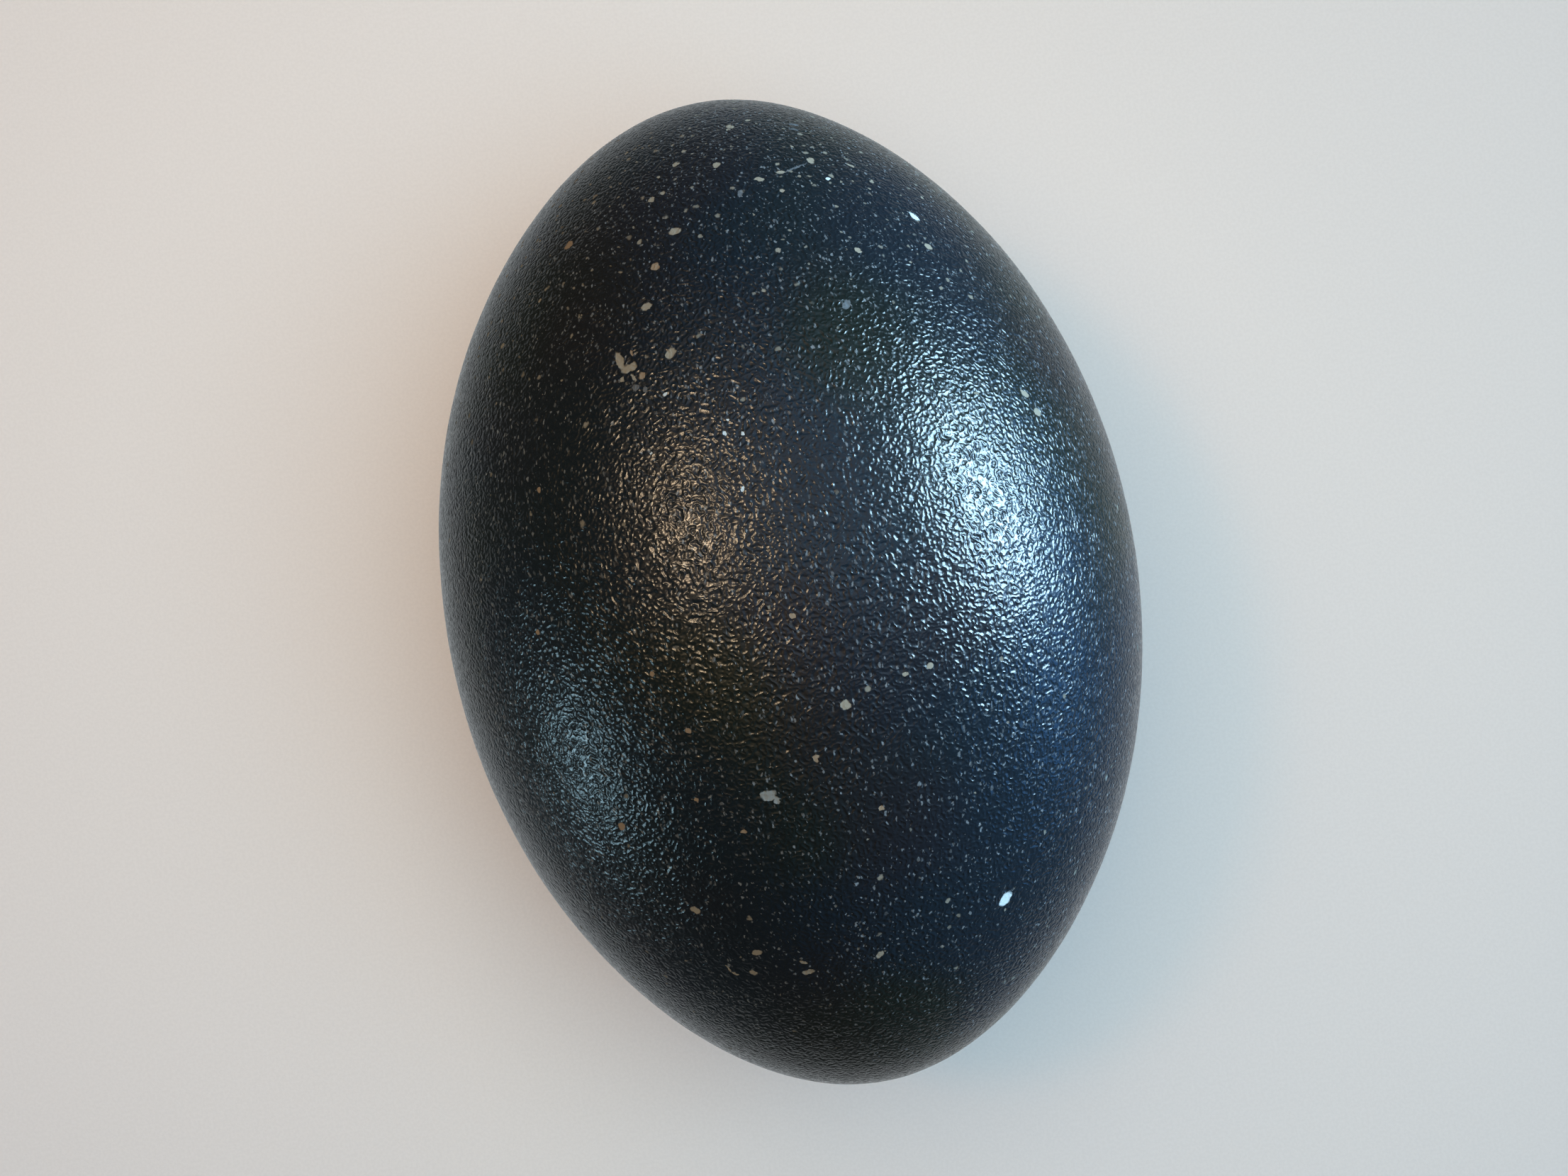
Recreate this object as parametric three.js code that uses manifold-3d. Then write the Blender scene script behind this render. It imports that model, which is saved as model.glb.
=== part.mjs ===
// An emu egg lying on its side: one solid of revolution with a small flat spot underneath, on which it rests.
//
// Units are millimetres and +Z is up. The long axis lies level along Y with the slightly fuller end at +Y. The origin
// is on the flat spot, under the middle of the egg's length.

import * as THREE from "three";
import { mergeVertices } from "three/addons/utils/BufferGeometryUtils.js";
import Module from "manifold-3d";

// Driving dimensions.
const EGG_LENGTH = 130; // pole to pole
const EGG_BREADTH = 90; // greatest diameter, near the middle of the length
const FULLER_END = 0.0075; // share by which the +Y half is wider, and the -Y half narrower, than the mean
const END_TAPER = 0.054; // how much slimmer than an ellipse the shell is towards both poles
const REST_DEPTH = 0.2; // thickness of the sliver that the flat spot takes off the underside

// Fineness of the faceted surface.
const RINGS = 48; // steps from pole to pole
const SEGMENTS = 88; // steps round the long axis

// The shell: a near-black blue-green with a satin gloss.
const SHELL_COLOUR = 0x242c2f;
const SHELL_ROUGHNESS = 0.35;

// Height of the long axis above the surface that the egg rests on.
const AXIS_HEIGHT = EGG_BREADTH / 2 - REST_DEPTH;

const wasm = await Module();
wasm.setup();

// Radius of the shell at a place along the axis, where along runs from -1 at one pole to 1 at the other.
function shellRadius(along) {
  const ellipse = Math.sqrt(Math.max(0, 1 - along ** 2));
  const taper = END_TAPER * (along ** 2 + along ** 4);
  return (EGG_BREADTH / 2) * ellipse * (1 + FULLER_END * along - taper);
}

// The outline from the -Y pole to the +Y pole. Equal steps of angle bring the rings closer together at the poles.
function shellOutline() {
  return Array.from({ length: RINGS + 1 }, (_, ring) => {
    const along = -Math.cos((Math.PI * ring) / RINGS);
    return new THREE.Vector2(shellRadius(along), (along * EGG_LENGTH) / 2);
  });
}

// A closed three.js geometry as a solid that can be cut.
function solidFrom(geometry) {
  const bare = geometry.clone();
  bare.deleteAttribute("normal");
  bare.deleteAttribute("uv");
  const merged = mergeVertices(bare);
  return new wasm.Manifold(
    new wasm.Mesh({
      numProp: 3,
      vertProperties: merged.attributes.position.array,
      triVerts: new Uint32Array(merged.index.array),
    }),
  );
}

// A cut solid as a three.js geometry again.
function geometryFrom(solid) {
  const { vertProperties, triVerts } = solid.getMesh();
  const geometry = new THREE.BufferGeometry();
  geometry.setAttribute("position", new THREE.BufferAttribute(vertProperties, 3));
  geometry.setIndex(new THREE.BufferAttribute(triVerts, 1));
  geometry.computeVertexNormals();
  return geometry;
}

// The whole egg about its own axis, before it is laid down.
function eggGeometry() {
  return new THREE.LatheGeometry(shellOutline(), SEGMENTS);
}

// A block with its top face at the height of the flat spot, to cut the underside level.
function surfaceBlock() {
  const block = new THREE.BoxGeometry(EGG_LENGTH, EGG_LENGTH, EGG_BREADTH);
  return block.translate(0, 0, -AXIS_HEIGHT - EGG_BREADTH / 2);
}

function makeEgg() {
  const shell = solidFrom(eggGeometry()).subtract(solidFrom(surfaceBlock()));
  const material = new THREE.MeshStandardMaterial({
    color: SHELL_COLOUR,
    roughness: SHELL_ROUGHNESS,
    metalness: 0,
  });
  const egg = new THREE.Mesh(geometryFrom(shell), material);
  egg.name = "emu_egg";
  egg.position.z = AXIS_HEIGHT;
  return egg;
}

const part = new THREE.Group();
part.add(makeEgg());

export default part;
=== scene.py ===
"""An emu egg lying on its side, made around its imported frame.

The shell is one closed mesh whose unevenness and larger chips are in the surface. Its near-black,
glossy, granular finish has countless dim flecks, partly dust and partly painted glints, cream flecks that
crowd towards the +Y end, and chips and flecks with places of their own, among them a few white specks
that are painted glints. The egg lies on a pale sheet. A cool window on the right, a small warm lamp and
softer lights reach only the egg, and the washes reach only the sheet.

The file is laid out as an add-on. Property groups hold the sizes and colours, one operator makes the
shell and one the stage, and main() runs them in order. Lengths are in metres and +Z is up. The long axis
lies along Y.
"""

import math
from collections import namedtuple

import bmesh
import bpy
import numpy as np
from bpy.props import FloatProperty, FloatVectorProperty, IntProperty, PointerProperty
from mathutils import Matrix, Quaternion, Vector, noise


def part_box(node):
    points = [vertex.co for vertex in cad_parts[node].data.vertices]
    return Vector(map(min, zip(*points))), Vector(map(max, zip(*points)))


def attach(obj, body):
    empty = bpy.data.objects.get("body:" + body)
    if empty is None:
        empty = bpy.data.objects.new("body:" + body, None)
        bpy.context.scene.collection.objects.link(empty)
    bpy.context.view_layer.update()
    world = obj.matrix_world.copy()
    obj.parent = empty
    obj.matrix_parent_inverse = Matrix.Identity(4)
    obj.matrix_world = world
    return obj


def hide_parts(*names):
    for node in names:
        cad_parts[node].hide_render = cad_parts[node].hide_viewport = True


bl_info = {
    "name": "Emu Egg",
    "version": (1, 0, 0),
    "blender": (4, 5, 0),
    "location": "View3D > Sidebar > Emu Egg",
    "description": "Makes a glossy, granular emu egg and a pale stage for it",
    "category": "Add Mesh",
}

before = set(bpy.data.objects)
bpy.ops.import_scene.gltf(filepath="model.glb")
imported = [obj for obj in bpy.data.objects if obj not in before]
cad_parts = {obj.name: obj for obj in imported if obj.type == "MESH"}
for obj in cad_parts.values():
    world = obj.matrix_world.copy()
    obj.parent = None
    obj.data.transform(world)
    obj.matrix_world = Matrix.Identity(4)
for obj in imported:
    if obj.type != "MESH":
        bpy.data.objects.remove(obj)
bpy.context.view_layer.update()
EGG_LOW, EGG_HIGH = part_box("emu_egg")

MM = 0.001
EGG_LENGTH = EGG_HIGH.y - EGG_LOW.y
EGG_BREADTH = EGG_HIGH.x - EGG_LOW.x
AXIS_HEIGHT = EGG_HIGH.z - EGG_BREADTH / 2  # of the long axis above the floor

# Chips, flecks and scratches that are large enough to have a place of their own, and a few white specks
# that are painted glints. "along" is the distance in mm from the middle of the egg towards the +Y end,
# "round" the angle in degrees from the top towards +X, and "turn" the angle in degrees of the mark's length
# from the long axis towards +X. Lengths and widths are in mm.
Mark = namedtuple("Mark", "along round length width turn")

CREAM_MARKS = (
    Mark(28.3, -19.7, 2.4, 0.9, -17),  # left arm of the boomerang
    Mark(27.2, -18.2, 2.0, 1.0, 75),  # its right arm
    Mark(26.0, -17.5, 1.1, 0.4, -28),  # crumbs below it
    Mark(26.1, -19.4, 0.5, 0.5, 0),
    Mark(27.7, -11.3, 1.5, 1.0, 31),  # pebble beside it
    Mark(33.7, -14.7, 1.2, 1.0, 71),
    Mark(42.1, -8.8, 1.4, 1.1, 81),
    Mark(-12.5, 4.1, 1.1, 1.0, 10),
    Mark(-10.3, 16.7, 0.7, 0.7, 0),
    Mark(-10.6, 13.0, 0.7, 0.4, 51),
    Mark(17.0, 43.9, 1.3, 0.9, -49),
    Mark(14.7, 45.4, 1.3, 0.9, -63),
    Mark(35.8, 38.4, 1.1, 0.9, -57),
    Mark(35.9, 23.1, 0.9, 0.8, -28),
    Mark(55.9, 9.3, 1.1, 0.8, -20),
    Mark(50.0, 2.0, 1.1, 0.9, 36),
    Mark(51.4, -8.2, 1.1, 0.8, 21),
    Mark(46.9, 10.4, 1.1, 0.7, -63),
    Mark(47.1, -13.7, 1.1, 0.8, 0),
    Mark(47.8, 34.1, 1.1, 0.6, -40),
    Mark(47.5, 15.6, 1.1, 0.5, 85),  # foot of the scratch
    Mark(48.9, 24.6, 1.3, 0.9, 25),  # head of the scratch
    Mark(44.9, 14.1, 0.7, 0.5, 17),
    Mark(-32.5, -27.0, 1.2, 0.9, -59),
    Mark(-38.6, -19.2, 1.3, 0.8, 80),
    Mark(-41.2, -21.9, 1.0, 0.9, -37),
    Mark(-42.0, -11.1, 1.5, 0.7, 81),
    Mark(-40.6, -11.5, 0.9, 0.5, -65),
    Mark(-40.4, -26.5, 1.3, 0.3, -10),  # curl
    Mark(-41.1, -25.7, 0.8, 0.4, -62),
    Mark(-41.4, 3.1, 1.1, 0.7, 52),
)
TAN_MARKS = (
    Mark(26.0, -16.2, 0.9, 0.8, 0),
    Mark(28.8, -17.6, 0.8, 0.4, -24),
    Mark(38.2, -12.8, 1.1, 1.0, 0),
    Mark(44.5, -33.8, 1.3, 1.1, 21),
    Mark(-17.5, -1.2, 0.9, 0.6, 11),
    Mark(-2.3, -0.6, 0.6, 0.6, 0),
    Mark(-24.3, 6.8, 0.6, 0.6, 0),
    Mark(-21.7, -33.9, 1.0, 0.9, -11),
    Mark(-24.0, -14.0, 0.9, 0.5, -69),
    Mark(-12.2, -18.1, 0.7, 0.7, 0),
    Mark(-5.5, -21.3, 0.7, 0.7, 0),
    Mark(-19.7, -19.7, 0.7, 0.6, 0),
    Mark(1.2, -39.2, 0.7, 0.6, 0),
    Mark(16.5, -35.4, 0.7, 0.6, 0),
)
WHITE_CHIPS_AND_GLINTS = (
    Mark(-38.6, 29.1, 2.1, 1.5, 36),
    Mark(40.0, 40.1, 1.6, 0.9, -20),
    Mark(45.9, 25.6, 0.6, 0.6, 0),
    Mark(23.4, -12.8, 0.5, 0.5, 0),  # painted glints: bright specks of the lamp's light round its gleam
    Mark(19.2, -4.3, 0.4, 0.4, 0),
    Mark(17.8, -5.0, 0.5, 0.4, 0),
    Mark(17.5, -2.5, 0.5, 0.4, 0),
    Mark(11.7, -4.0, 0.5, 0.4, 0),
    Mark(17.4, -16.0, 0.3, 0.3, 0),
)
CHALK_MARKS = (
    Mark(-20.6, -9.0, 1.7, 1.2, 79),  # the largest chip, with two lobes
    Mark(-21.2, -8.0, 0.9, 0.7, 13),
    Mark(-20.2, -9.7, 0.8, 0.6, 69),
)
GREY_MARKS = (
    Mark(24.9, -17.3, 0.8, 0.7, 0),
    Mark(24.4, -15.8, 0.6, 0.5, 0),
    Mark(55.3, 30.0, 1.4, 0.6, -60),
    Mark(54.3, 28.1, 1.2, 0.5, -61),
    Mark(47.9, 19.4, 4.2, 0.25, 68),  # scratch
    Mark(45.3, 5.4, 1.3, 0.7, 11),
    Mark(29.5, 17.2, 1.3, 0.9, 34),
)
DEEP_MARK = 1.2 * MM  # marks at least this long, apart from grey ones, are hollows in the mesh as well
MARK_THICKNESS = 1.0 * MM  # reach of a mark above and below the shell's surface
MARK_EDGE = (1.1, 0.8)  # where a mark starts and is full, in units of its own half-sizes
CHIP_SLOPE = (0.7, 1.3)  # where a chip's hollow is deepest and where it ends, in the same units
FARTHEST_MARK = 6.0  # faces farther than this carry no mark, in the same units
MARK_RANKS = ("nearest", "second")  # a face carries its two nearest marks

RIPPLE_SHIFT = Vector((7, 3, 5))  # picks another part of the noise than the swells take

# The flecks without a place of their own. The dim ones are partly dust and partly painted glints.
RAGGEDNESS = 0.55 * MM  # pitch and reach of the unevenness of the flecks' and marks' edges
UPPER_END = (12 * MM, 60 * MM)  # where the crowding towards the +Y end starts and is full
LOWER_END = (-15 * MM, -50 * MM)  # the same towards the -Y end
DUST_AND_GLINT_STRETCH = (1.2, 0.6, 1.2)  # draws the dim flecks, dust and painted glints, out along the egg
SMALLEST_FLECK = 0.35  # size of the smallest, in shares of the largest
FULL_FLECK = 0.5  # share of its radius within which a fleck has its full colour
DUST_AND_GLINT_COVER = (0.10, 0.95)  # how much of the shell's colour the faintest and strongest dim flecks hide, dust and painted glints alike
FLECK_COVER = (0.25, 0.75)  # the same for the cream flecks
FLECK_COVER_RISE = 0.25  # how much more they hide near the +Y end
CHIP_RELIEF = 0.03 * MM  # depth of flecks and chips in the fine relief
CHIP_SMOOTHING = 0.6  # share of the ridges that flecks and chips take away

# Patches that smooth noise makes: their pitch, and the noise's values where a patch starts and is full.
Patches = namedtuple("Patches", "pitch edge")

DENSER_FLECK_PATCHES = Patches(9 * MM, (0.30, 0.70))
GREEN_PATCHES = Patches(34 * MM, (0.42, 0.64))
PLUM_PATCHES = Patches(27 * MM, (0.50, 0.72))
PLUM_STRENGTH = 0.6  # how much of the colour below it a plum-black patch hides
SHEET_PATCHES = Patches(0.5 * MM, (0.35, 0.65))
SHEET_SHADE = 0.97  # brightness of the sheet outside its patches, in shares of theirs
TOOTH_PITCH = 0.35 * MM  # of the sheet's fine relief
TOOTH_HEIGHT = 0.01 * MM

# Heights at which the surroundings change, as the upward part of a unit direction.
SKY_RISE = (0.02, 0.45)  # from the horizon's colour to that overhead
GROUND_FALL = (-0.10, -0.95)  # to the colour underfoot

# Studio lights. "aim" points from the egg's centre to the light, "size" is its width and height, and "turn"
# turns it about that line, in degrees. The washes reach only the sheet, and the others all but the sheet.
StudioLight = namedtuple("StudioLight", "name aim distance size turn colour")

WINDOW = StudioLight("window", (0.91, 0.15, 0.38), 0.75, (0.40, 0.22), 32, (0.46, 0.76, 1.0))
LAMP = StudioLight("warm_lamp", (-0.39, 0.25, 0.88), 0.60, (0.10, 0.10), 0, (1.0, 0.74, 0.47))
LAMP_GLOW = StudioLight("lamp_glow", (-0.20, 0.25, 0.94), 0.65, (0.90, 0.90), 0, (1.0, 0.60, 0.20))
DISTANT_PANE = StudioLight("distant_pane", (-0.93, -0.33, 0.14), 0.90, (0.22, 0.18), 0, (0.52, 0.84, 1.0))
COOL_WALL = StudioLight("cool_wall", (0.99, -0.10, 0.05), 0.90, (0.90, 0.30), 0, (0.10, 0.38, 1.0))
CEILING = StudioLight("soft_ceiling", (0.40, 0.30, 0.86), 1.10, (1.10, 1.10), 0, (0.50, 0.72, 1.0))
CEILING_WASH = StudioLight("ceiling_wash", (0.25, 0.15, 0.96), 2.20, (3.60, 3.60), 0, (0.58, 0.72, 0.92))
COOL_WASH = StudioLight("cool_wash", (0.32, -0.10, 0.94), 0.42, (0.32, 0.32), 0, (0.45, 0.80, 1.0))
WARM_WASH = StudioLight("warm_wash", (-0.10, 0.25, 0.96), 0.32, (0.30, 0.30), 0, (1.0, 0.74, 0.45))
LAMP_WASH = StudioLight("lamp_wash", (-0.39, 0.25, 0.88), 0.60, (0.08, 0.08), 0, (1.0, 0.33, 0.03))

CAMERA_SHIFT = (-0.8 * MM, 0.7 * MM)  # in X and Y, from straight above the egg's centre
CAMERA_RISE = 202.8 * MM  # above the egg's axis
PICTURE_TURN = 11.09  # degrees by which the egg's upper end leans to the left
SENSOR_WIDTH = 36.0  # mm
CLIP_START = 10 * MM
FLOOR_RADIUS = 3.0
FLOOR_SIDES = 96


def length_setting(name, description, default):
    return FloatProperty(name=name, description=description, default=default, unit="LENGTH", precision=5)


def number_setting(name, description, default):
    return FloatProperty(name=name, description=description, default=default, precision=4)


def colour_setting(name, description, default):
    return FloatVectorProperty(
        name=name,
        description=description,
        default=default,
        subtype="COLOR",
        min=0,
        max=1,
    )


def count_setting(name, description, default):
    return IntProperty(name=name, description=description, default=default, min=1)


class EggShape(bpy.types.PropertyGroup):
    """Size and outline of the shell, its unevenness and how finely it is divided."""

    length: length_setting("Length", "Distance from pole to pole", EGG_LENGTH)
    breadth: length_setting("Breadth", "Greatest diameter", EGG_BREADTH)
    axis_height: length_setting("Axis height", "Height of the long axis above the floor", AXIS_HEIGHT)
    fuller_end: number_setting("Fuller end", "Share by which the +Y half is wider than the mean", 0.0075)
    end_taper: number_setting("End taper", "How much slimmer than an ellipse the ends are", 0.054)
    cells_across: count_setting("Cells across", "Cells over a quarter of the way round", 108)
    cells_along: count_setting("Cells along", "Cells between the two end caps", 160)
    swell_pitch: length_setting("Swell pitch", "Distance between broad swells", 17 * MM)
    swell_depth: length_setting("Swell depth", "Depth of the broad swells", 0.10 * MM)
    ripple_pitch: length_setting("Ripple pitch", "Distance between clusters of granules", 4.2 * MM)
    ripple_depth: length_setting("Ripple depth", "Depth between clusters of granules", 0.050 * MM)
    chip_depth: length_setting("Chip depth", "Depth of the larger chips", 0.06 * MM)


class ShellFinish(bpy.types.PropertyGroup):
    """Colours, gloss and fine grain of the shell."""

    blue_black: colour_setting("Blue-black", "Main colour of the shell", (0.0050, 0.0085, 0.0125))
    green_black: colour_setting("Green-black", "Colour of the greener patches", (0.0055, 0.0080, 0.0065))
    plum_black: colour_setting("Plum-black", "Colour of the browner patches", (0.0080, 0.0070, 0.0085))
    # Dim flecks: partly dust, partly painted glints of the surrounding light.
    dust_and_glints: colour_setting("Dust", "Colour of the countless dim flecks", (0.115, 0.125, 0.132))
    cream: colour_setting("Cream", "Colour of cream flecks and chips", (0.165, 0.145, 0.110))
    tan: colour_setting("Tan", "Colour of tan flecks", (0.17, 0.12, 0.075))
    # White is also the colour of a few painted glints of the lamp among the marks.
    white_and_glints: colour_setting("White", "Colour of the freshest chips", (0.34, 0.38, 0.39))
    chalk: colour_setting("Chalk", "Colour of weathered chips", (0.150, 0.165, 0.165))
    grey: colour_setting("Grey", "Colour of rubbed places and scratches", (0.09, 0.10, 0.11))
    roughness: number_setting("Roughness", "Roughness of the polished crests", 0.19)
    hollow_roughness: number_setting("Hollow roughness", "Roughness between the crests", 0.27)
    chip_roughness: number_setting("Chip roughness", "Roughness of chips and flecks", 0.90)
    refraction: number_setting("Refraction", "Index of refraction of the shell's gloss", 1.38)
    # Spacing, size and share of the dim flecks, which are partly dust and partly painted glints.
    dust_and_glint_pitch: length_setting("Dust pitch", "Distance between the dim flecks", 0.45 * MM)
    dust_and_glint_radius: length_setting("Dust radius", "Radius of the largest dim flecks", 0.25 * MM)
    dust_and_glint_share: number_setting("Dust share", "Share of the dim flecks that are kept", 0.40)
    dust_and_glint_patches: number_setting("Dust patches", "Rise of that share in the dustier patches", 0.25)
    dust_and_glint_crowding: number_setting("Dust crowding", "Rise of that share towards the +Y end", 0.20)
    fleck_pitch: length_setting("Fleck pitch", "Distance between the cream flecks", 1.15 * MM)
    fleck_radius: length_setting("Fleck radius", "Radius of the largest cream flecks", 0.44 * MM)
    fleck_share: number_setting("Fleck share", "Share of the cream flecks that are kept", 0.04)
    upper_crowding: number_setting("Upper crowding", "Rise of that share towards the +Y end", 0.70)
    lower_crowding: number_setting("Lower crowding", "Rise of that share towards the -Y end", 0.08)
    ridge_pitch: length_setting("Ridge pitch", "Distance between the fine ridges", 0.68 * MM)
    ridge_depth: length_setting("Ridge depth", "About three times the ridges' height", 0.32 * MM)
    ridge_rounding: number_setting("Ridge rounding", "How round the crests are", 0.03)
    crest: FloatVectorProperty(
        name="Crest",
        description="Depths at which the polish starts and is full, in shares of the ridge depth",
        default=(0.09, 0.03),
        size=2,
    )


class StageLook(bpy.types.PropertyGroup):
    """The sheet that the egg lies on, the light and the lens."""

    sheet: colour_setting("Sheet", "Colour of the pale sheet", (0.76, 0.755, 0.74))
    horizon: colour_setting("Horizon", "Colour of the surroundings at the horizon", (0.065, 0.070, 0.072))
    overhead: colour_setting("Overhead", "Colour of the surroundings overhead", (0.040, 0.045, 0.050))
    underfoot: colour_setting("Underfoot", "Colour that the shell mirrors from below", (0.58, 0.62, 0.64))
    backdrop: colour_setting("Backdrop", "Colour that the camera sees behind the sheet", (0.62, 0.64, 0.66))
    window: number_setting("Window", "Brightness of the window", 84.0)
    lamp: number_setting("Lamp", "Brightness of the warm lamp", 61.0)
    glow: number_setting("Lamp glow", "Brightness of the warm glow round the lamp", 0.40)
    pane: number_setting("Distant pane", "Brightness of the distant pane", 16.5)
    wall: number_setting("Cool wall", "Brightness of the cool wall below the window", 3.2)
    ceiling: number_setting("Ceiling", "Brightness of the soft ceiling", 0.7)
    ceiling_wash: number_setting("Ceiling wash", "Brightness of the sheet's wide overhead light", 0.85)
    cool_wash: number_setting("Cool wash", "Brightness of the sheet's cool light", 2.8)
    warm_wash: number_setting("Warm wash", "Brightness of the sheet's warm light", 2.5)
    lamp_wash: number_setting("Lamp wash", "Brightness of the sheet's light from the lamp", 23.0)
    lens: FloatProperty(name="Lens", description="Focal length", default=35.0, unit="CAMERA")


# The shell's mesh


def box_sphere(across, along):
    """Unit directions and quads of a sphere that is divided as a box is.

    "across" counts the cells along X and Z, and "along" those along Y. Points on the box's edges belong to
    more than one side and are kept once."""
    cells = (across, along, across)
    sides = []
    for axis in range(3):
        first, second = (axis + 1) % 3, (axis + 2) % 3
        for side in (0, cells[axis]):
            steps = [None, None, None]
            steps[axis] = np.array([side])
            steps[first] = np.arange(cells[first] + 1)
            steps[second] = np.arange(cells[second] + 1)
            grid = np.stack(np.meshgrid(*steps, indexing="ij"), axis=-1)
            grid_size = (cells[first] + 1, cells[second] + 1, 3)
            grid = np.moveaxis(grid, (first, second), (0, 1)).reshape(grid_size)
            sides.append(grid if side else grid[::-1])
    # One number stands for a point's steps along X, Y and Z.
    weights = np.array([(along + 1) * (across + 1), across + 1, 1])
    numbers = [grid @ weights for grid in sides]
    found, place = np.unique(np.concatenate([n.ravel() for n in numbers]), return_inverse=True)
    steps = np.column_stack(np.unravel_index(found, (across + 1, along + 1, across + 1)))
    warped = np.tan((2 * steps / np.array(cells) - 1) * math.pi / 4)
    quads = []
    start = 0
    for number in numbers:
        index = place[start:start + number.size].reshape(number.shape)
        start += number.size
        corners = (index[:-1, :-1], index[1:, :-1], index[1:, 1:], index[:-1, 1:])
        quads.append(np.stack(corners, axis=-1).reshape(-1, 4))
    return warped / np.linalg.norm(warped, axis=1, keepdims=True), np.concatenate(quads)


def smooth_shell(directions, shape):
    """Points of the smooth shell about the egg's centre and its outward normals, for unit directions."""
    along = directions[:, 1]
    fullness = 1 + shape.fuller_end * along - shape.end_taper * (along**2 + along**4)
    change = shape.fuller_end - shape.end_taper * (2 * along + 4 * along**3)
    across = shape.breadth / 2 * fullness
    height = across * directions[:, 2]
    points = np.column_stack((across * directions[:, 0], shape.length / 2 * along, height))
    lean = shape.breadth / shape.length * (fullness * along - change * (1 - along**2))
    normals = np.column_stack((directions[:, 0], lean, directions[:, 2]))
    return points, normals / np.linalg.norm(normals, axis=1, keepdims=True)


def mark_frame(mark, shape):
    """A mark's centre on the smooth shell about the egg's centre, and a turn with X along its length."""
    along = mark.along * MM / (shape.length / 2)
    angle = math.radians(mark.round)
    ring = math.sqrt(1 - along**2)
    direction = np.array([[ring * math.sin(angle), along, ring * math.cos(angle)]])
    points, normals = smooth_shell(direction, shape)
    outward = Vector(normals[0])
    lengthwise = Vector((0, 1, 0))
    lengthwise = (lengthwise - outward * lengthwise.dot(outward)).normalized()
    lengthwise.rotate(Quaternion(outward, -math.radians(mark.turn)))
    turn = Matrix((lengthwise, outward.cross(lengthwise), outward)).transposed()
    return Vector(points[0]), turn


def smooth_step(values, low, high):
    share = np.clip((values - low) / (high - low), 0, 1)
    return share * share * (3 - 2 * share)


def reach_of(mark, points, shape):
    """Distance of each point from a mark's centre, in units of the mark's own half-sizes."""
    centre, turn = mark_frame(mark, shape)
    local = (points - np.array(centre)) @ np.array(turn)
    halves = np.array((mark.length * MM / 2, mark.width * MM / 2, MARK_THICKNESS))
    return np.linalg.norm(local / halves, axis=1)


def shell_relief(points, shape):
    """Depth below the smooth shell at each point: broad swells, granule clusters and the larger chips."""
    swell = np.array([noise.noise(Vector(p) / shape.swell_pitch) for p in points])
    ripple = np.array([noise.noise(Vector(p) / shape.ripple_pitch + RIPPLE_SHIFT) for p in points])
    depth = shape.swell_depth * (0.5 + 0.5 * swell) + shape.ripple_depth * (0.5 + 0.5 * ripple)
    for mark in CREAM_MARKS + TAN_MARKS + WHITE_CHIPS_AND_GLINTS + CHALK_MARKS:
        if mark.length * MM < DEEP_MARK:
            continue
        reach = reach_of(mark, points, shape)
        depth += shape.chip_depth * (1 - smooth_step(reach, *CHIP_SLOPE))
    return depth


def write_marks(mesh, middles, shape, finish):
    """Gives every face its nearest marks: centres, directions over half-sizes, colours and strengths."""
    # Each group's marks, their colour and how much of the shell's colour they hide.
    groups = (
        (CREAM_MARKS, finish.cream, 1.0),
        (TAN_MARKS, finish.tan, 0.9),
        # White chips, and a few specks that are painted glints of the lamp.
        (WHITE_CHIPS_AND_GLINTS, finish.white_and_glints, 1.0),
        (CHALK_MARKS, finish.chalk, 1.0),
        (GREY_MARKS, finish.grey, 0.6),
    )
    marks = [(mark, tint, strength) for group, tint, strength in groups for mark in group]
    reaches = np.column_stack([reach_of(mark, middles, shape) for mark, _, _ in marks])
    order = np.argsort(reaches, axis=1)
    frames = [mark_frame(mark, shape) for mark, _, _ in marks]
    halves = [(mark.length * MM / 2, mark.width * MM / 2) for mark, _, _ in marks]
    values = {
        "centre": np.array([centre for centre, _ in frames]),
        "lengthwise": np.array([turn.col[0] / half[0] for (_, turn), half in zip(frames, halves)]),
        "crosswise": np.array([turn.col[1] / half[1] for (_, turn), half in zip(frames, halves)]),
        "tint": np.array([tuple(tint) for _, tint, _ in marks]),
    }
    strengths = np.array([strength for _, _, strength in marks])
    faces = np.arange(len(middles))
    for rank, name in enumerate(MARK_RANKS):
        chosen = order[:, rank]
        for kind, rows in values.items():
            attribute = mesh.attributes.new(f"{name}_{kind}", "FLOAT_VECTOR", "FACE")
            attribute.data.foreach_set("vector", rows[chosen].ravel())
        near = reaches[faces, chosen] < FARTHEST_MARK
        attribute = mesh.attributes.new(f"{name}_strength", "FLOAT", "FACE")
        attribute.data.foreach_set("value", strengths[chosen] * near)


def shell_mesh(shape, finish):
    directions, quads = box_sphere(shape.cells_across, shape.cells_along)
    points, normals = smooth_shell(directions, shape)
    middles = points[quads].mean(axis=1)
    points -= normals * shell_relief(points, shape)[:, None]
    points[:, 2] = np.maximum(points[:, 2] + shape.axis_height, 0)
    mesh = bpy.data.meshes.new("egg_shell")
    mesh.from_pydata(points.tolist(), [], quads.tolist())
    mesh.shade_smooth()
    write_marks(mesh, middles, shape, finish)
    return mesh


# Shader expressions


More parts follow.
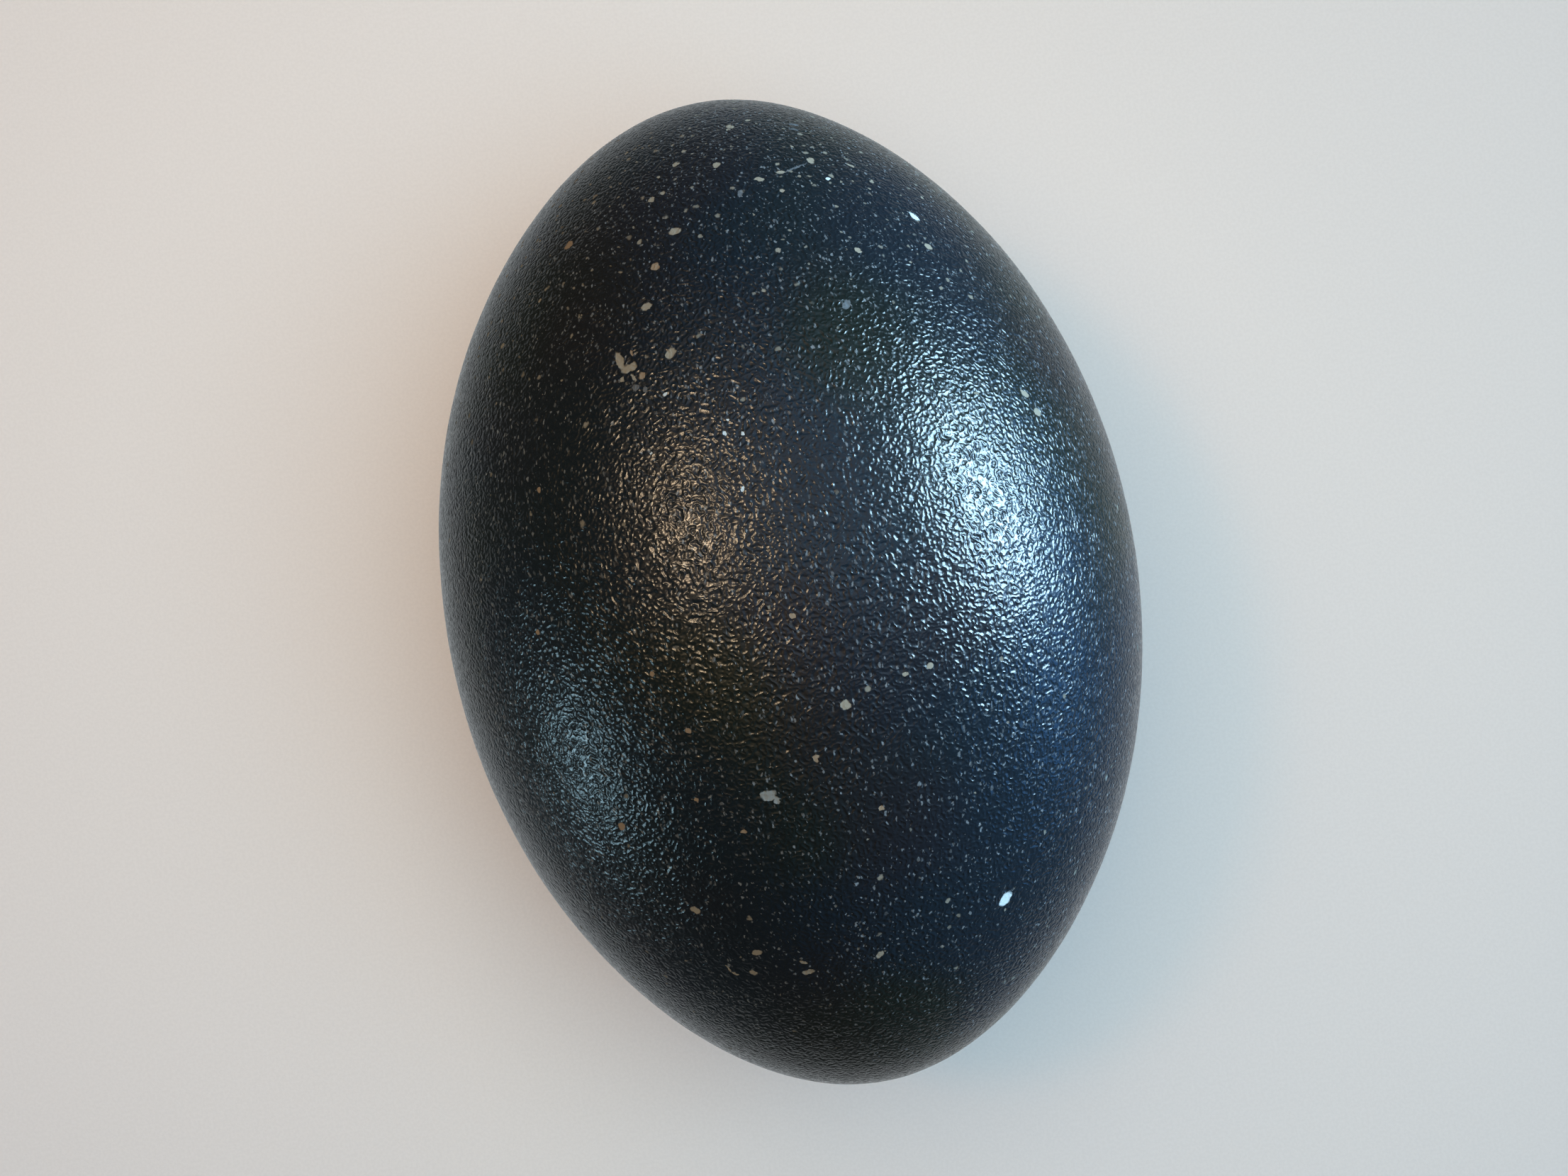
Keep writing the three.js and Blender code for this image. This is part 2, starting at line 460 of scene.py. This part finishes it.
class Wire:
    """A shader node's output that can stand in an expression: each operator adds its Math node."""

    def __init__(self, node, output):
        self.added = node
        self.tree = node.id_data
        self.socket = next((s for s in node.outputs if s.identifier == output), None)

    @classmethod
    def node(cls, tree, kind, output, settings=None, inputs=None):
        """Adds any node: its settings first, then each socket's value or link, by socket identifier."""
        added = tree.nodes.new(kind)
        for name, setting in (settings or {}).items():
            setattr(added, name, setting)
        sockets = {socket.identifier: socket for socket in added.inputs}
        for name, value in (inputs or {}).items():
            if isinstance(value, Wire):
                tree.links.new(value.socket, sockets[name])
            else:
                sockets[name].default_value = value
        return cls(added, output)

    def beside(self, output):
        """Another output of the same node."""
        return Wire(self.added, output)

    def math(self, operation, first, second=0.0):
        inputs = {"Value": first, "Value_001": second}
        return self.node(self.tree, "ShaderNodeMath", "Value", {"operation": operation}, inputs)

    def __add__(self, other):
        return self.math("ADD", self, other)

    def __radd__(self, other):
        return self.math("ADD", other, self)

    def __sub__(self, other):
        return self.math("SUBTRACT", self, other)

    def __rsub__(self, other):
        return self.math("SUBTRACT", other, self)

    def __mul__(self, other):
        return self.math("MULTIPLY", self, other)

    def __rmul__(self, other):
        return self.math("MULTIPLY", other, self)

    def __pow__(self, other):
        return self.math("POWER", self, other)

    def greater(self, other):
        return self.math("MAXIMUM", self, other)

    def ramp(self, low, high):
        """0 below low, 1 above high and a smooth slope between them. High may be the smaller one."""
        settings = {"interpolation_type": "SMOOTHSTEP"}
        inputs = {"Value": self, "From Min": low, "From Max": high}
        return self.node(self.tree, "ShaderNodeMapRange", "Result", settings, inputs)


def vector_math(operation, first, second):
    inputs = {"Vector": first, "Vector_001": second}
    return Wire.node(first.tree, "ShaderNodeVectorMath", "Vector", {"operation": operation}, inputs)


def scaled(vector, factor):
    inputs = {"Vector": vector, "Scale": factor}
    return Wire.node(vector.tree, "ShaderNodeVectorMath", "Vector", {"operation": "SCALE"}, inputs)


def blended(share, first, second):
    """The first colour where share is 0, the second where it is 1. A colour is a Wire or three numbers."""
    colours = [colour if isinstance(colour, Wire) else (*colour, 1.0) for colour in (first, second)]
    inputs = {"Factor_Float": share, "A_Color": colours[0], "B_Color": colours[1]}
    return Wire.node(share.tree, "ShaderNodeMix", "Result_Color", {"data_type": "RGBA"}, inputs)


def cloud(place, pitch, detail=0.0, offset=(0.0, 0.0, 0.0)):
    """Smooth noise from 0 to 1 whose patches lie a pitch apart. The offset picks another part of it."""
    moved = vector_math("ADD", place, offset)
    inputs = {"Vector": moved, "Scale": 1 / pitch, "Detail": detail, "Roughness": 0.5}
    return Wire.node(place.tree, "ShaderNodeTexNoise", "Fac", {"noise_dimensions": "3D"}, inputs)


def in_patches(place, patches, offset):
    """Mask of the patches that smooth noise makes."""
    return cloud(place, patches.pitch, 1.0, offset).ramp(*patches.edge)


def between(ends, share):
    """The first of two numbers where share is 0 and the second where it is 1."""
    return ends[0] + (ends[1] - ends[0]) * share


def cells(place, pitch, offset):
    """Distance to the nearest of many scattered points, in shares of the pitch that they lie apart."""
    moved = vector_math("ADD", place, offset)
    settings = {"voronoi_dimensions": "3D", "feature": "F1", "distance": "EUCLIDEAN"}
    inputs = {"Vector": moved, "Scale": 1 / pitch}
    return Wire.node(place.tree, "ShaderNodeTexVoronoi", "Distance", settings, inputs)


def scattered(place, pitch, radius, share, offset):
    """Mask of round flecks of many sizes, and each one's random number. Share is how many are kept."""
    cell = cells(place, pitch, offset)
    parts = Wire.node(place.tree, "ShaderNodeSeparateColor", "Red", inputs={"Color": cell.beside("Color")})
    size = radius / pitch * between((SMALLEST_FLECK, 1.0), parts**2)
    kept = share.math("LESS_THAN", parts.beside("Green"), share)
    return kept * cell.ramp(size, FULL_FLECK * size), parts.beside("Blue")


def bumped(height):
    """The normal of a surface with this height in metres."""
    inputs = {"Strength": 1.0, "Distance": 1.0, "Height": height}
    return Wire.node(height.tree, "ShaderNodeBump", "Normal", inputs=inputs)


def carried(tree, name, output="Vector"):
    """What the mesh's faces carry under this name."""
    return Wire.node(tree, "ShaderNodeAttribute", output, {"attribute_name": name})


def dot(first, second):
    inputs = {"Vector": first, "Vector_001": second}
    return Wire.node(first.tree, "ShaderNodeVectorMath", "Value", {"operation": "DOT_PRODUCT"}, inputs)


def mark_mask(place, rank):
    """Mask of the mark that each face carries under this rank."""
    tree = place.tree
    offset = vector_math("SUBTRACT", place, carried(tree, f"{rank}_centre"))
    lengthwise = dot(offset, carried(tree, f"{rank}_lengthwise"))
    crosswise = dot(offset, carried(tree, f"{rank}_crosswise"))
    reach = (lengthwise * lengthwise + crosswise * crosswise) ** 0.5
    return reach.ramp(*MARK_EDGE) * carried(tree, f"{rank}_strength", "Fac")


# The shell's finish


def granule_ridges(place, finish):
    """Height of fine winding ridges with small hollows between them, and a mask of their crests.

    A crest runs where the noise has its middle value."""
    level = cloud(place, finish.ridge_pitch, 0.5, (0.2, 0.6, 0.4)) - 0.5
    distance = (level * level + finish.ridge_rounding**2) ** 0.5
    return distance * -finish.ridge_depth, distance.ramp(*finish.crest)


def shell_material(shape, finish):
    """Near-black pigment over fine granules, dim flecks of dust and painted glints, cream flecks and the
    chips.
    """
    material = bpy.data.materials.new("granular_dark_shell")
    material.use_nodes = True
    tree = material.node_tree
    tree.nodes.clear()

    middle = (0.0, 0.0, -shape.axis_height)
    place = vector_math("ADD", Wire.node(tree, "ShaderNodeTexCoord", "Object"), middle)
    along = Wire.node(tree, "ShaderNodeSeparateXYZ", "Y", inputs={"Vector": place})
    wobble = cloud(place, RAGGEDNESS, 1.0).beside("Color")
    wobble = scaled(vector_math("SUBTRACT", wobble, (0.5, 0.5, 0.5)), RAGGEDNESS)
    uneven_place = vector_math("ADD", place, wobble)

    # Flecks: countless dim ones, partly dust and partly painted glints, and cream ones that crowd towards
    # the upper end.
    upper_end = along.ramp(*UPPER_END)
    lower_end = along.ramp(*LOWER_END)
    denser_flecks = in_patches(place, DENSER_FLECK_PATCHES, (0.3, 0.1, 0.2))
    dust_and_glint_share = finish.dust_and_glint_share + finish.dust_and_glint_patches * denser_flecks + finish.dust_and_glint_crowding * upper_end
    long_place = vector_math("MULTIPLY", uneven_place, DUST_AND_GLINT_STRETCH)
    dust_and_glint_size = (finish.dust_and_glint_pitch, finish.dust_and_glint_radius)
    dust_and_glints, dust_and_glint_random = scattered(long_place, *dust_and_glint_size, dust_and_glint_share, (0.5, 0.2, 0.1))
    fleck_share = finish.fleck_share + finish.upper_crowding * upper_end
    fleck_share = fleck_share + finish.lower_crowding * lower_end
    fleck_size = (finish.fleck_pitch, finish.fleck_radius)
    fleck, fleck_random = scattered(uneven_place, *fleck_size, fleck_share, (0.1, 0.4, 0.3))

    # Relief: chips and flecks are a little lower and smoother than the ridges.
    marks = {rank: mark_mask(uneven_place, rank) for rank in MARK_RANKS}
    chips = fleck.greater(marks["nearest"]).greater(marks["second"])
    ridges, crests = granule_ridges(place, finish)
    relief = bumped(ridges * (1 - CHIP_SMOOTHING * chips) - CHIP_RELIEF * chips)

    # Colour: three near-blacks in broad patches, then the flecks and chips. Painted glints are among the
    # dim flecks and among the white marks.
    green = in_patches(place, GREEN_PATCHES, (0.9, 0.5, 0.7))
    plum = in_patches(place, PLUM_PATCHES, (0.4, 0.8, 0.6))
    colour = blended(green, finish.blue_black, finish.green_black)
    colour = blended(PLUM_STRENGTH * plum, colour, finish.plum_black)
    # Dim flecks, partly dust and partly painted glints.
    colour = blended(dust_and_glints * between(DUST_AND_GLINT_COVER, dust_and_glint_random), colour, finish.dust_and_glints)
    fleck_cover = between(FLECK_COVER, fleck_random) + FLECK_COVER_RISE * upper_end
    colour = blended(fleck * fleck_cover, colour, finish.cream)
    for rank in reversed(MARK_RANKS):
        colour = blended(marks[rank], colour, carried(tree, f"{rank}_tint", "Color"))

    roughness = between((finish.hollow_roughness, finish.roughness), crests)
    roughness = between((roughness, finish.chip_roughness), chips)
    surface = {"Base Color": colour, "Roughness": roughness, "Normal": relief, "IOR": finish.refraction}
    shader = Wire.node(tree, "ShaderNodeBsdfPrincipled", "BSDF", inputs=surface)
    Wire.node(tree, "ShaderNodeOutputMaterial", None, inputs={"Surface": shader})
    return material


# The stage


def sheet_material(look):
    """Matt pale paper with a faint mottle and a fine tooth."""
    material = bpy.data.materials.new("pale_paper")
    material.use_nodes = True
    tree = material.node_tree
    tree.nodes.clear()
    place = Wire.node(tree, "ShaderNodeTexCoord", "Object")
    mottle = cloud(place, SHEET_PATCHES.pitch, 2.0).ramp(*SHEET_PATCHES.edge)
    tooth = cloud(place, TOOTH_PITCH, 1.0, (0.5, 0.0, 0.0))
    darker = [SHEET_SHADE * channel for channel in look.sheet]
    colour = blended(mottle, darker, look.sheet)
    relief = bumped(tooth * TOOTH_HEIGHT)
    surface = {"Base Color": colour, "Roughness": 0.9, "Specular IOR Level": 0.2, "Normal": relief}
    shader = Wire.node(tree, "ShaderNodeBsdfPrincipled", "BSDF", inputs=surface)
    Wire.node(tree, "ShaderNodeOutputMaterial", None, inputs={"Surface": shader})
    return material


def add_sheet(context, look):
    """The floor. It is hidden from gloss, so the shell mirrors the surroundings in its place."""
    mesh = bpy.data.meshes.new("sheet")
    outline = bmesh.new()
    bmesh.ops.create_circle(outline, cap_ends=True, segments=FLOOR_SIDES, radius=FLOOR_RADIUS)
    outline.to_mesh(mesh)
    outline.free()
    mesh.materials.append(sheet_material(look))
    sheet = bpy.data.objects.new("sheet", mesh)
    sheet.visible_glossy = False
    context.scene.collection.objects.link(sheet)
    return sheet


def add_light(context, light, brightness):
    """A rectangular light. Its brightness is what a mirror would show, so its power grows with its area."""
    data = bpy.data.lights.new(light.name, "AREA")
    data.shape = "RECTANGLE"
    data.size, data.size_y = light.size
    data.color = light.colour
    data.energy = brightness * math.pi * light.size[0] * light.size[1]
    towards = Vector(light.aim).normalized()
    turn = towards.to_track_quat("Z", "Y") @ Quaternion((0, 0, 1), math.radians(light.turn))
    lamp = bpy.data.objects.new(light.name, data)
    lamp.location = Vector((0, 0, AXIS_HEIGHT)) + towards * light.distance
    lamp.rotation_euler = turn.to_euler()
    context.scene.collection.objects.link(lamp)
    return lamp


def link_light(lamp, sheet, state):
    """With state "INCLUDE" a light reaches only the sheet, and with "EXCLUDE" all but the sheet."""
    receivers = bpy.data.collections.new(f"{lamp.name}_receivers")
    receivers.objects.link(sheet)
    receivers.collection_objects[0].light_linking.link_state = state
    lamp.light_linking.receiver_collection = receivers


def add_surroundings(context, look):
    """A plain studio: dim round the egg and overhead, paler underfoot, and pale to the camera."""
    world = bpy.data.worlds.new("studio")
    world.use_nodes = True
    tree = world.node_tree
    tree.nodes.clear()
    direction = Wire.node(tree, "ShaderNodeTexCoord", "Generated")
    rise = Wire.node(tree, "ShaderNodeSeparateXYZ", "Z", inputs={"Vector": direction})
    colour = blended(rise.ramp(*SKY_RISE), look.horizon, look.overhead)
    colour = blended(rise.ramp(*GROUND_FALL) ** 2, colour, look.underfoot)
    colour = blended(Wire.node(tree, "ShaderNodeLightPath", "Is Camera Ray"), colour, look.backdrop)
    backdrop = Wire.node(tree, "ShaderNodeBackground", "Background", inputs={"Color": colour})
    Wire.node(tree, "ShaderNodeOutputWorld", None, inputs={"Surface": backdrop})
    context.scene.world = world


def add_camera(context, look):
    data = bpy.data.cameras.new("camera")
    data.lens = look.lens
    data.sensor_width = SENSOR_WIDTH
    data.sensor_fit = "HORIZONTAL"
    data.clip_start = CLIP_START
    camera = bpy.data.objects.new("camera", data)
    camera.location = (*CAMERA_SHIFT, AXIS_HEIGHT + CAMERA_RISE)
    camera.rotation_euler = (0, 0, -math.radians(PICTURE_TURN))
    context.scene.collection.objects.link(camera)
    context.scene.camera = camera


class EGG_OT_add_stage(bpy.types.Operator):
    """Add the pale sheet, the studio light and the camera"""

    bl_idname = "emu_egg.add_stage"
    bl_label = "Add Stage"

    def execute(self, context):
        look = context.scene.emu_egg_stage
        add_camera(context, look)
        sheet = add_sheet(context, look)
        for light, brightness, state in (
            (WINDOW, look.window, "EXCLUDE"),
            (LAMP, look.lamp, "EXCLUDE"),
            (LAMP_GLOW, look.glow, "EXCLUDE"),
            (DISTANT_PANE, look.pane, "EXCLUDE"),
            (COOL_WALL, look.wall, "EXCLUDE"),
            (CEILING, look.ceiling, "EXCLUDE"),
            (CEILING_WASH, look.ceiling_wash, "INCLUDE"),
            (COOL_WASH, look.cool_wash, "INCLUDE"),
            (WARM_WASH, look.warm_wash, "INCLUDE"),
            (LAMP_WASH, look.lamp_wash, "INCLUDE"),
        ):
            link_light(add_light(context, light, brightness), sheet, state)
        add_surroundings(context, look)
        context.scene.view_settings.view_transform = "Standard"
        return {"FINISHED"}


class EGG_OT_add_shell(bpy.types.Operator):
    """Add the egg's shell in place of its plain solid"""

    bl_idname = "emu_egg.add_shell"
    bl_label = "Add Shell"

    def execute(self, context):
        shape = context.scene.emu_egg_shape
        finish = context.scene.emu_egg_finish
        mesh = shell_mesh(shape, finish)
        mesh.materials.append(shell_material(shape, finish))
        shell = bpy.data.objects.new("egg_shell", mesh)
        context.scene.collection.objects.link(shell)
        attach(shell, "root")
        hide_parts("emu_egg")
        return {"FINISHED"}


class EGG_PT_panel(bpy.types.Panel):
    """Lists the egg's operators and settings"""

    bl_label = "Emu Egg"
    bl_idname = "EGG_PT_panel"
    bl_space_type = "VIEW_3D"
    bl_region_type = "UI"
    bl_category = "Emu Egg"

    def draw(self, context):
        scene = context.scene
        sections = (
            (EGG_OT_add_shell, (scene.emu_egg_shape, scene.emu_egg_finish)),
            (EGG_OT_add_stage, (scene.emu_egg_stage,)),
        )
        for operator, groups in sections:
            column = self.layout.column()
            for group in groups:
                for name in group.__annotations__:
                    column.prop(group, name)
            column.operator(operator.bl_idname)


CLASSES = (EggShape, ShellFinish, StageLook, EGG_OT_add_stage, EGG_OT_add_shell, EGG_PT_panel)


def register():
    for kind in CLASSES:
        bpy.utils.register_class(kind)
    bpy.types.Scene.emu_egg_shape = PointerProperty(type=EggShape)
    bpy.types.Scene.emu_egg_finish = PointerProperty(type=ShellFinish)
    bpy.types.Scene.emu_egg_stage = PointerProperty(type=StageLook)


def unregister():
    del bpy.types.Scene.emu_egg_stage
    del bpy.types.Scene.emu_egg_finish
    del bpy.types.Scene.emu_egg_shape
    for kind in reversed(CLASSES):
        bpy.utils.unregister_class(kind)


def main():
    register()
    bpy.ops.emu_egg.add_stage()
    bpy.ops.emu_egg.add_shell()


if __name__ == "__main__":
    main()
